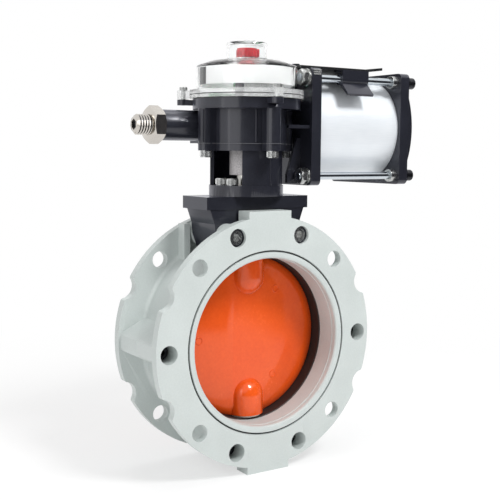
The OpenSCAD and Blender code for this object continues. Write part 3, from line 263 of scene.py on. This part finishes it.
# Stems, bushes and seals
# Two stub stems of ground stainless steel are pinned into the disc's bosses and turn in bronze bushes.
# Ground steel shines along its length, turned bronze is warmer and duller, and filled PTFE is matt white.
stainless = mottled("ground stainless steel", "a9a8a4", "c4c3bf", grain_mm=0.5,
                    rough=(0.18, 0.3), bump_mm=0.004, stretch=(1, 1, 0.05), Metallic=1.0)
bronze = mottled("turned bearing bronze", "8f6238", "ab7a48", grain_mm=0.6,
                 rough=(0.28, 0.42), bump_mm=0.006, stretch=(0.1, 0.1, 1), Metallic=1.0)
polymer_bearing = mottled("filled PTFE bearing", "d9d6cc", "e9e7df", grain_mm=0.7,
                          rough=(0.4, 0.5), bump_mm=0.01)
for node in ("upper_stem", "lower_stem", "stem_pins", "indicator_shaft"):
    wear(nodes[node], stainless)
for node in ("upper_bush", "lower_bush", "column_bush", "pinion_bush_lower", "pinion_bush_upper"):
    wear(nodes[node], bronze)
for node in ("thrust_washers", "rack_bush", "piston_wear_ring"):
    wear(nodes[node], polymer_bearing)
for node in ("stem_seals", "rack_seal", "piston_seal", "barrel_seals", "base_gasket"):
    wear(nodes[node], seal_nitrile)

# Screws and nuts
# Turned steel. The body's socket screws sit deep in counterbores and are blackened, so they show dark with
# dull rims. The bracket's and the column's screws and the tie rods' nuts are zinc plated, a soft silver grey.
black_steel = mottled("blackened socket screw steel", "202125", "34353a", grain_mm=0.5,
                      rough=(0.22, 0.35), bump_mm=0.01, Metallic=0.8)
zinc_steel = mottled("zinc plated steel", "aeb0b0", "cfd0ce", grain_mm=0.8,
                     rough=(0.2, 0.34), bump_mm=0.008, Metallic=1.0)
for node in ("body_screws", "rear_screws", "top_bracket_screws", "base_screws"):
    rounded(node, node + "_turned", black_steel, VALVE, edge_mm=0.25)
for node in ("bracket_screws", "column_base_screws", "column_top_screws",
             "rod_washers", "rod_nuts", "rod_collars"):
    rounded(node, node + "_turned", zinc_steel, VALVE, edge_mm=0.25)


def knurl(tree, sockets):
    """A circle of small upright ridges round each seed."""
    ridge = add_node(tree, "GeometryNodeMeshCylinder", {
        "Vertices": 4, "Radius": sockets["Ridge"], "Depth": sockets["Height"]})
    circle = add_node(tree, "GeometryNodeMeshCircle", {
        "Vertices": sockets["Ridges"], "Radius": sockets["Head Radius"]})
    place = add_node(tree, "GeometryNodeInputPosition")
    turn = add_node(tree, "FunctionNodeAlignRotationToVector", {"Vector": place.outputs[0]}, axis="X")
    belt = add_node(tree, "GeometryNodeInstanceOnPoints", {
        "Points": circle.outputs[0], "Instance": ridge.outputs[0], "Rotation": turn.outputs[0]})
    return add_node(tree, "GeometryNodeInstanceOnPoints", {
        "Points": sockets["Geometry"], "Instance": belt.outputs[0]}).outputs[0]


STEM_Y = 40.0


def on_stem(radius, degrees, z):
    """A point at a radius and an angle round the stem, in mm."""
    angle = math.radians(degrees)
    return radius * math.cos(angle), STEM_Y + radius * math.sin(angle), z


BRACKET_SCREW_X, BRACKET_SCREW_Z, SHADE_RING_Y = 33.38, 94.26, 3.6
TOP_SCREW_CIRCLE_R, TOP_HEAD_Z = 42, 165.5
BASE_SCREW_X, BASE_SCREW_Y, BASE_HEAD_Z = 20.5, 9.5, 141
# A dark ring round each bracket screw's head is painted shade in the gap of its counterbore
grown("bracket_screw_shade_rings", [(x, SHADE_RING_Y, BRACKET_SCREW_Z) for x in (-BRACKET_SCREW_X, BRACKET_SCREW_X)],
      {"Ring Radius": 7.2 * MM, "Wire Radius": 0.75 * MM, "Tilt": UPRIGHT}, ring_mark, black_steel, VALVE)
top_heads = [on_stem(TOP_SCREW_CIRCLE_R, a, TOP_HEAD_Z) for a in (0, 90, 180, 270)]
base_heads = [(x, STEM_Y + y, BASE_HEAD_Z) for x in (-BASE_SCREW_X, BASE_SCREW_X)
              for y in (-BASE_SCREW_Y, BASE_SCREW_Y)]
grown("knurled_column_heads", top_heads + base_heads,
      {"Head Radius": 4.95 * MM, "Height": 4.6 * MM, "Ridge": 0.32 * MM, "Ridges": 30},
      knurl, zinc_steel, VALVE)

# Column
# Glass-filled polyamide, moulded with a foot, a neck with windows and a top flange. It is a slightly blue
# black with a satin skin that takes long soft reflections. Its moulds met in the seams on the neck.
# A thin matt grey sheet lies on its flange and stands out a little all round. It is painted highlight along
# the flange's top edge.
moulded_black = mottled("moulded black polyamide", "1d1e23", "27282e", grain_mm=0.9,
                        rough=(0.3, 0.4), bump_mm=0.03,
                        Specular_IOR_Level=0.4, Coat_Weight=0.55, Coat_Roughness=0.12,
                        Coat_Tint=linear("e8eaff"))
rounded("column", "black_column", moulded_black, VALVE, edge_mm=0.9)
FLANGE_TOP_Z, HOLE_R, ON_TOP_WITHIN = 175.0, 34.0, 0.01
HIGHLIGHT_SHEET_T, STANDS_OUT = 0.5, 0.9
# The grey sheet is painted highlight: it draws a light line along the joint of the flange and the housing
highlight_grey = mottled("grey sheet painted as flange edge highlight", "4c4d52", "5c5d63", grain_mm=0.4, rough=(0.5, 0.6), bump_mm=0.01)
highlight_sheet = bmesh.new()
highlight_sheet.from_mesh(nodes["column"].data)
below = [f for f in highlight_sheet.faces
         if any(abs(v.co.z - FLANGE_TOP_Z * MM) > ON_TOP_WITHIN * MM for v in f.verts)]
bmesh.ops.delete(highlight_sheet, geom=below, context="FACES")
bmesh.ops.remove_doubles(highlight_sheet, verts=highlight_sheet.verts, dist=JOIN_MM * MM)
for vertex in highlight_sheet.verts:
    out = Vector((vertex.co.x, vertex.co.y - STEM_Y * MM, 0))
    if out.length > HOLE_R * MM:
        vertex.co += out.normalized() * STANDS_OUT * MM
bmesh.ops.solidify(highlight_sheet, geom=highlight_sheet.faces[:], thickness=HIGHLIGHT_SHEET_T * MM)
bmesh.ops.recalc_face_normals(highlight_sheet, faces=highlight_sheet.faces[:])
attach(from_mesh(highlight_sheet, "column_joint_painted_highlight", highlight_grey), VALVE)
RIB_SIDES = 10


def upright_rib(tree, sockets):
    """A thin round rib of one height on each seed."""
    rib = add_node(tree, "GeometryNodeMeshCylinder", {
        "Vertices": RIB_SIDES, "Radius": sockets["Rib Radius"], "Depth": sockets["Height"]})
    return add_node(tree, "GeometryNodeInstanceOnPoints", {
        "Points": sockets["Geometry"], "Instance": rib.outputs[0]}).outputs[0]


NECK_R, NECK_MIDDLE_Z = 32.5, 153.3
grown("neck_mould_seams", [on_stem(NECK_R, a, NECK_MIDDLE_Z) for a in (98, 278)],
      {"Height": 30 * MM, "Rib Radius": 1.1 * MM}, upright_rib, moulded_black, VALVE)

# Coupling
# Sintered steel sleeve that joins the upper stem to the pinion. Its open pores make it a dull, speckled
# light grey, and the speckle is drawn coarser than the real one so that it shows.
sintered = mottled("sintered steel", "7d7c7d", "d6d2d3", grain_mm=1.0,
                   rough=(0.45, 0.6), bump_mm=0.08, Metallic=0.3)
rounded("coupling", "sintered_coupling", sintered, STEM, edge_mm=0.5)

# Gear housing
# The same black polyamide, with the stop screw's tube, the front head of the air cylinder and mould seams.
# The rear head and the clip on a tie rod are moulded too. Three short ribs of bright zinc plated steel at the
# front head's corner are painted highlight.
# Inside it run the rack and the pinion, hobbed from steel, mid grey with a dull shine.
HOUSING_R, HOUSING_MIDDLE_Z = 36, 189.9
housing_seams = [on_stem(HOUSING_R, a, HOUSING_MIDDLE_Z) for a in (71, 109, 251)]
housing_seams.append((-47.3, 35.5, HOUSING_MIDDLE_Z))
rounded("gear_housing", "black_gear_housing", moulded_black, VALVE, edge_mm=0.9)
grown("housing_mould_seams", housing_seams,
      {"Height": 28 * MM, "Rib Radius": 1.0 * MM}, upright_rib, moulded_black, VALVE)
ALONG_CYLINDER = (0, math.radians(90), 0)


def level_rib(tree, sockets):
    """A short round rib along the cylinder on each seed."""
    rib = add_node(tree, "GeometryNodeMeshCylinder", {
        "Vertices": sockets["Sides"], "Radius": sockets["Rib Radius"], "Depth": sockets["Length"]})
    level = add_node(tree, "GeometryNodeTransform", {
        "Geometry": rib.outputs[0], "Rotation": ALONG_CYLINDER})
    return add_node(tree, "GeometryNodeInstanceOnPoints", {
        "Points": sockets["Geometry"], "Instance": level.outputs[0]}).outputs[0]


HEAD_CORNER = (56.75, 11)
# Three short bright zinc steel ribs at the head's corner: painted highlight
grown("head_corner_highlight_ribs", [(*HEAD_CORNER, z) for z in (237.9, 239.7, 241.5)],
      {"Length": 8.4 * MM, "Rib Radius": 0.6 * MM, "Sides": RIB_SIDES}, level_rib, zinc_steel, VALVE)
rounded("rear_head", "black_rear_head", moulded_black, VALVE, edge_mm=0.7)
rounded("rod_clip", "black_rod_clip", moulded_black, VALVE, edge_mm=0.4)
gear_steel = mottled("hobbed gear steel", "77777a", "98989a", grain_mm=0.5,
                     rough=(0.25, 0.4), bump_mm=0.01, Metallic=1.0)
for node in ("pinion", "rack", "piston_screw"):
    wear(nodes[node], gear_steel)

# Barrel
# Drawn aluminium tube with a clear anodised skin, pale and satin, with fine lines along it from drawing.
# Four chromium plated tie rods, much brighter and bluer, clamp it between the two heads.
anodised = mottled("clear anodised drawn aluminium", "e2e7ec", "eaeef2", grain_mm=0.7,
                   rough=(0.36, 0.44), bump_mm=0.003, stretch=(0.04, 1, 1), Metallic=0.25)
rounded("barrel", "anodised_barrel", anodised, VALVE, edge_mm=0.2)
wear(nodes["piston"], anodised)
chromed = mottled("chromium plated steel", "c3cbd2", "d3d9de", grain_mm=0.6,
                  rough=(0.08, 0.14), bump_mm=0.002, stretch=(0.05, 1, 1), Metallic=1.0)
rounded("tie_rods", "bright_tie_rods", chromed, VALVE, edge_mm=0.2)

# Stop screw
# Nickel plated steel, warm and bright, with a hex socket in its end and a lock nut. The screw's plain outside
# is drawn in to the core, a swept ridge makes the thread, and a dark sleeve fills the shade at its roots.
nickel = mottled("nickel plated steel", "c9c4bd", "d4cfc8", grain_mm=0.8,
                 rough=(0.12, 0.2), bump_mm=0.002, Metallic=1.0)
CYLINDER_Y, CYLINDER_Z = 64.0, 190.5
SCREW_R, CORE_R, SOCKET_R = 9.0, 7.8, 7.0
ROOTS_MIDDLE_X, THREAD_END_X = -88.2, -98.6
screw = rounded("stop_screw", "nickel_stop_screw", nickel, VALVE, edge_mm=0)
for vertex in screw.data.vertices:
    across = Vector((0, vertex.co.y - CYLINDER_Y * MM, vertex.co.z - CYLINDER_Z * MM))
    if across.length > SOCKET_R * MM:
        vertex.co -= across * (1 - CORE_R / SCREW_R)
rounded("stop_nut", "nickel_stop_nut", nickel, VALVE, edge_mm=0.4)


def thread(tree, sockets):
    """A helical ridge along the cylinder from each seed."""
    length = add_node(tree, "ShaderNodeMath", {0: sockets["Pitch"], 1: sockets["Turns"]},
                      operation="MULTIPLY")
    helix = add_node(tree, "GeometryNodeCurveSpiral", {
        "Resolution": 48, "Rotations": sockets["Turns"], "Start Radius": sockets["Core Radius"],
        "End Radius": sockets["Core Radius"], "Height": length.outputs[0]})
    upright = add_node(tree, "GeometryNodeSetCurveNormal", {"Curve": helix.outputs[0]}, mode="Z_UP")
    ridge = add_node(tree, "GeometryNodeCurvePrimitiveCircle", {"Resolution": 4, "Radius": sockets["Crest"]})
    swept = add_node(tree, "GeometryNodeCurveToMesh", {
        "Curve": upright.outputs[0], "Profile Curve": ridge.outputs[0], "Fill Caps": True})
    level = add_node(tree, "GeometryNodeTransform", {
        "Geometry": swept.outputs[0], "Rotation": ALONG_CYLINDER})
    return add_node(tree, "GeometryNodeInstanceOnPoints", {
        "Points": sockets["Geometry"], "Instance": level.outputs[0]}).outputs[0]


grown("stop_screw_thread_roots", [(ROOTS_MIDDLE_X, CYLINDER_Y, CYLINDER_Z)],
      {"Length": 20 * MM, "Rib Radius": 8.2 * MM, "Sides": 48}, level_rib, black_steel, VALVE)
grown("stop_screw_thread", [(THREAD_END_X, CYLINDER_Y, CYLINDER_Z)],
      {"Pitch": 2.5 * MM, "Turns": 8.0, "Core Radius": CORE_R * MM, "Crest": 1.2 * MM},
      thread, nickel, VALVE)

# Top bracket
# Folded steel strip, screwed to both heads over the barrel and painted satin black. The paint is a
# neutral black, duller than the moulded parts, and thin enough to keep the folds crisp.
black_paint = mottled("satin black paint on steel", "121314", "1b1c1e", grain_mm=1.2,
                      rough=(0.34, 0.46), bump_mm=0.02)
rounded("top_bracket", "painted_top_bracket", black_paint, VALVE, edge_mm=0.5)

# Switch box
# Black polyamide base with cams, two limit switches and a terminal block, and a knob of red ABS on the shaft.
# Moulded plastic is even in colour with a soft shine. Round them stands a band of matt white card, and its
# end panel is printed in a flat, dull black.
rounded("switch_base", "black_switch_base", moulded_black, VALVE, edge_mm=0.5)
card = mottled("matt white card", "fafaf9", "ffffff", grain_mm=0.6, rough=(0.6, 0.75), bump_mm=0.01)
red_plastic = mottled("moulded red ABS", "b40a1c", "c51226", grain_mm=0.8, rough=(0.3, 0.4), bump_mm=0.01)
blue_plastic = mottled("moulded blue ABS", "234e92", "2c5ba5", grain_mm=0.8, rough=(0.3, 0.4), bump_mm=0.01)
green_plastic = mottled("moulded green polyamide", "2f7d4c", "3a9059", grain_mm=0.8,
                        rough=(0.35, 0.45), bump_mm=0.01)
black_ink = mottled("black screen print", "101113", "17181a", grain_mm=0.5, rough=(0.4, 0.5), bump_mm=0.005)
wear(nodes["scale_card"], card)
PANEL_R, PANEL_T, PANEL_HEIGHTS = 42.6, 0.1, (226.0, 240.7)
PANEL_FROM, PANEL_TO, PANEL_STEPS = 128, 182, 16
panel = bmesh.new()
uprights = []
for step in range(PANEL_STEPS + 1):
    x, y, _ = on_stem(PANEL_R, PANEL_FROM + step * (PANEL_TO - PANEL_FROM) / PANEL_STEPS, 0)
    uprights.append([panel.verts.new((x * MM, y * MM, z * MM)) for z in PANEL_HEIGHTS])
for before, after in zip(uprights, uprights[1:]):
    panel.faces.new((before[0], after[0], after[1], before[1]))
panel.normal_update()
bmesh.ops.solidify(panel, geom=panel.faces[:], thickness=-PANEL_T * MM)
bmesh.ops.recalc_face_normals(panel, faces=panel.faces[:])
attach(from_mesh(panel, "card_end_panel", black_ink), VALVE)
KNOB_MIDDLE_Z = 253.6
rounded("red_knob", "red_indicator_knob", red_plastic, STEM, edge_mm=0.4)
grown("knob_flutes", [(0, STEM_Y, KNOB_MIDDLE_Z)],
      {"Head Radius": 8.9 * MM, "Height": 7 * MM, "Ridge": 0.7 * MM, "Ridges": 16},
      knurl, red_plastic, STEM)
for node, finish in (("lower_cam", blue_plastic), ("upper_cam", green_plastic),
                     ("lower_sensor", moulded_black), ("upper_sensor", moulded_black),
                     ("sensor_bracket", zinc_steel), ("terminal_block", green_plastic)):
    wear(nodes[node], finish)

# Clear cover
# Injection moulded polycarbonate, with lugs over the base's own and three knurled screws. It is highly
# glossy with a slow ripple, and its rim is frosted by the joint's rubber, which shows as a dark line. It
# bends light less than the real one, because at full strength the card behind it would be lost at its edges.
RIM_TOP_Z, FROST_FADE, RIPPLE_MM = 221.7, 0.4, 14
clear, clear_tree, clear_shader, clear_place = new_finish(
    "moulded clear polycarbonate", Transmission_Weight=1.0, IOR=1.12, Base_Color=linear("fdfefe"),
    Coat_Weight=0.6, Coat_IOR=1.5, Coat_Roughness=0.0)
flow = add_node(clear_tree, "ShaderNodeTexNoise", {
    "Vector": clear_place, "Scale": 1 / (RIPPLE_MM * MM), "Detail": 1.0})
ripple = add_node(clear_tree, "ShaderNodeBump", {
    "Height": flow.outputs[0], "Distance": 0.05 * MM, "Strength": 1.0})
height = add_node(clear_tree, "ShaderNodeSeparateXYZ", {0: clear_place}).outputs["Z"]
above_rim = {"Value": height, "From Min": (RIM_TOP_Z - FROST_FADE) * MM,
             "From Max": (RIM_TOP_Z + FROST_FADE) * MM}
frost = add_node(clear_tree, "ShaderNodeMapRange", {**above_rim, "To Min": 0.22, "To Max": 0.0})
passed = add_node(clear_tree, "ShaderNodeMapRange", {**above_rim, "To Min": 0.75, "To Max": 1.0})
clear_tree.links.new(ripple.outputs[0], clear_shader.inputs["Normal"])
clear_tree.links.new(frost.outputs[0], clear_shader.inputs["Roughness"])
clear_tree.links.new(passed.outputs[0], clear_shader.inputs["Transmission Weight"])
rounded("clear_cover", "clear_dome_cover", clear, VALVE, edge_mm=0.9, steps=3)
COVER_JOINT_Z = 217.4
COVER_SCREW_CIRCLE_R, COVER_HEAD_Z = 57, 223.2
grown("cover_joint_line", [(0, STEM_Y, COVER_JOINT_Z)],
      {"Ring Radius": 50.9 * MM, "Wire Radius": 0.4 * MM, "Tilt": LEVEL}, ring_mark, seal_nitrile, VALVE)
rounded("cover_screws", "cover_screws_turned", zinc_steel, VALVE, edge_mm=0.2)
grown("knurled_cover_heads", [on_stem(COVER_SCREW_CIRCLE_R, a, COVER_HEAD_Z) for a in (40, 144, 264)],
      {"Head Radius": 3.45 * MM, "Height": 2.2 * MM, "Ridge": 0.28 * MM, "Ridges": 24},
      knurl, zinc_steel, VALVE)

# Floor, light and camera
# A pale floor under the foot tabs, large soft lamps, and a white backdrop that only the camera,
# mirrors and glass see. The floor fades into that white away from the object, and keeps its shadow.
# A dark curtain, which only reflections see, gives metal and black plastic their contrast.
FLOOR_HALF = 3
FADE_FROM, FADE_TO = 0.25, 0.75
floor_mesh = bpy.data.meshes.new("floor")
floor_mesh.from_pydata([(x * FLOOR_HALF, y * FLOOR_HALF, cad_low[2])
                        for x, y in ((-1, -1), (1, -1), (1, 1), (-1, 1))], [], [(0, 1, 2, 3)])
floor = bpy.data.objects.new("floor", floor_mesh)
scene.collection.objects.link(floor)
floor_paint = bpy.data.materials.new("matt white floor")
floor_paint.use_nodes = True
paint = floor_paint.node_tree
paint.nodes.clear()
far = add_node(paint, "ShaderNodeVectorMath", {
    0: add_node(paint, "ShaderNodeTexCoord").outputs["Object"]}, operation="LENGTH")
fade = add_node(paint, "ShaderNodeMapRange", {
    "Value": far.outputs["Value"], "From Min": FADE_FROM, "From Max": FADE_TO,
    "To Min": 0.6, "To Max": 1.0}, interpolation_type="SMOOTHSTEP")


def seen_directly(tree):
    """1 for what the camera sees itself, in a mirror or through glass, or else 0."""
    rays = add_node(tree, "ShaderNodeLightPath")
    seen = add_node(tree, "ShaderNodeMath", {
        0: rays.outputs["Is Camera Ray"], 1: rays.outputs["Is Glossy Ray"]}, operation="MAXIMUM")
    return add_node(tree, "ShaderNodeMath", {
        0: seen.outputs[0], 1: rays.outputs["Is Transmission Ray"]}, operation="MAXIMUM").outputs[0]


blend = add_node(paint, "ShaderNodeMath", {0: fade.outputs[0], 1: seen_directly(paint)},
                 operation="MULTIPLY")
matt = add_node(paint, "ShaderNodeBsdfDiffuse", {"Color": linear("f4f4f4")})
glow = add_node(paint, "ShaderNodeEmission", {"Color": linear("ffffff"), "Strength": 1.0})
faded = add_node(paint, "ShaderNodeMixShader", {0: blend.outputs[0], 1: matt.outputs[0], 2: glow.outputs[0]})
add_node(paint, "ShaderNodeOutputMaterial", {"Surface": faded.outputs[0]})
wear(floor, floor_paint)

world = bpy.data.worlds.new("studio")
scene.world = world
world.use_nodes = True
sky = world.node_tree
sky.nodes.clear()
room = add_node(sky, "ShaderNodeBackground", {"Color": linear("ffffff"), "Strength": 0.48})
white = add_node(sky, "ShaderNodeBackground", {"Color": linear("ffffff"), "Strength": 1.0})
mixed = add_node(sky, "ShaderNodeMixShader", {0: seen_directly(sky), 1: room.outputs[0], 2: white.outputs[0]})
add_node(sky, "ShaderNodeOutputWorld", {"Surface": mixed.outputs[0]})
VALVE_MIDDLE = (0.0, 0.04, 0.06)


def lamp(name, place, size, power):
    """A square area lamp that looks at the middle of the valve, in metres and watts."""
    data = bpy.data.lights.new(name, "AREA")
    data.size = size
    data.energy = power
    obj = bpy.data.objects.new(name, data)
    scene.collection.objects.link(obj)
    obj.location = place
    obj.rotation_euler = (Vector(VALVE_MIDDLE) - Vector(place)).to_track_quat("-Z", "Y").to_euler()


lamp("key", place=(0.4, -1.0, 1.4), size=0.45, power=22)
lamp("fill", place=(-1.3, -0.5, 0.5), size=1.0, power=5)
lamp("top", place=(0.1, 0.2, 1.4), size=0.8, power=6)

CURTAIN_CORNERS = [(1.7, 0.27), (-1.0, -1.53), (-1.7, -0.25)]
CURTAIN_HEIGHTS = (-0.14, 0.55)
curtain_cloth = mottled("dark studio curtain", "26262c", "303036", grain_mm=40, rough=(0.8, 0.9), bump_mm=0)
curtain_mesh = bpy.data.meshes.new("curtain")
curtain_mesh.from_pydata([(x, y, z) for x, y in CURTAIN_CORNERS for z in CURTAIN_HEIGHTS],
                         [], [(0, 1, 3, 2), (2, 3, 5, 4)])
curtain = bpy.data.objects.new("curtain", curtain_mesh)
scene.collection.objects.link(curtain)
for kind in ("camera", "diffuse", "transmission", "shadow"):
    setattr(curtain, "visible_" + kind, False)
wear(curtain, curtain_cloth)

CAMERA_PLACE = (-0.4543, -0.6640, 0.1670)
CAMERA_YAW, CAMERA_TILT, CAMERA_ROLL = (math.radians(a) for a in (-33.11, 90 - 6.01, 0.44))
camera_data = bpy.data.cameras.new("camera")
camera = bpy.data.objects.new("camera", camera_data)
scene.collection.objects.link(camera)
camera_data.sensor_width = 36
camera_data.lens = 66.66
camera_data.clip_start = 0.01
camera.location = CAMERA_PLACE
aimed = Matrix.Rotation(CAMERA_YAW, 4, "Z") @ Matrix.Rotation(CAMERA_TILT, 4, "X")
camera.rotation_euler = (aimed @ Matrix.Rotation(CAMERA_ROLL, 4, "Z")).to_euler()
scene.camera = camera
scene.view_settings.view_transform = "Standard"
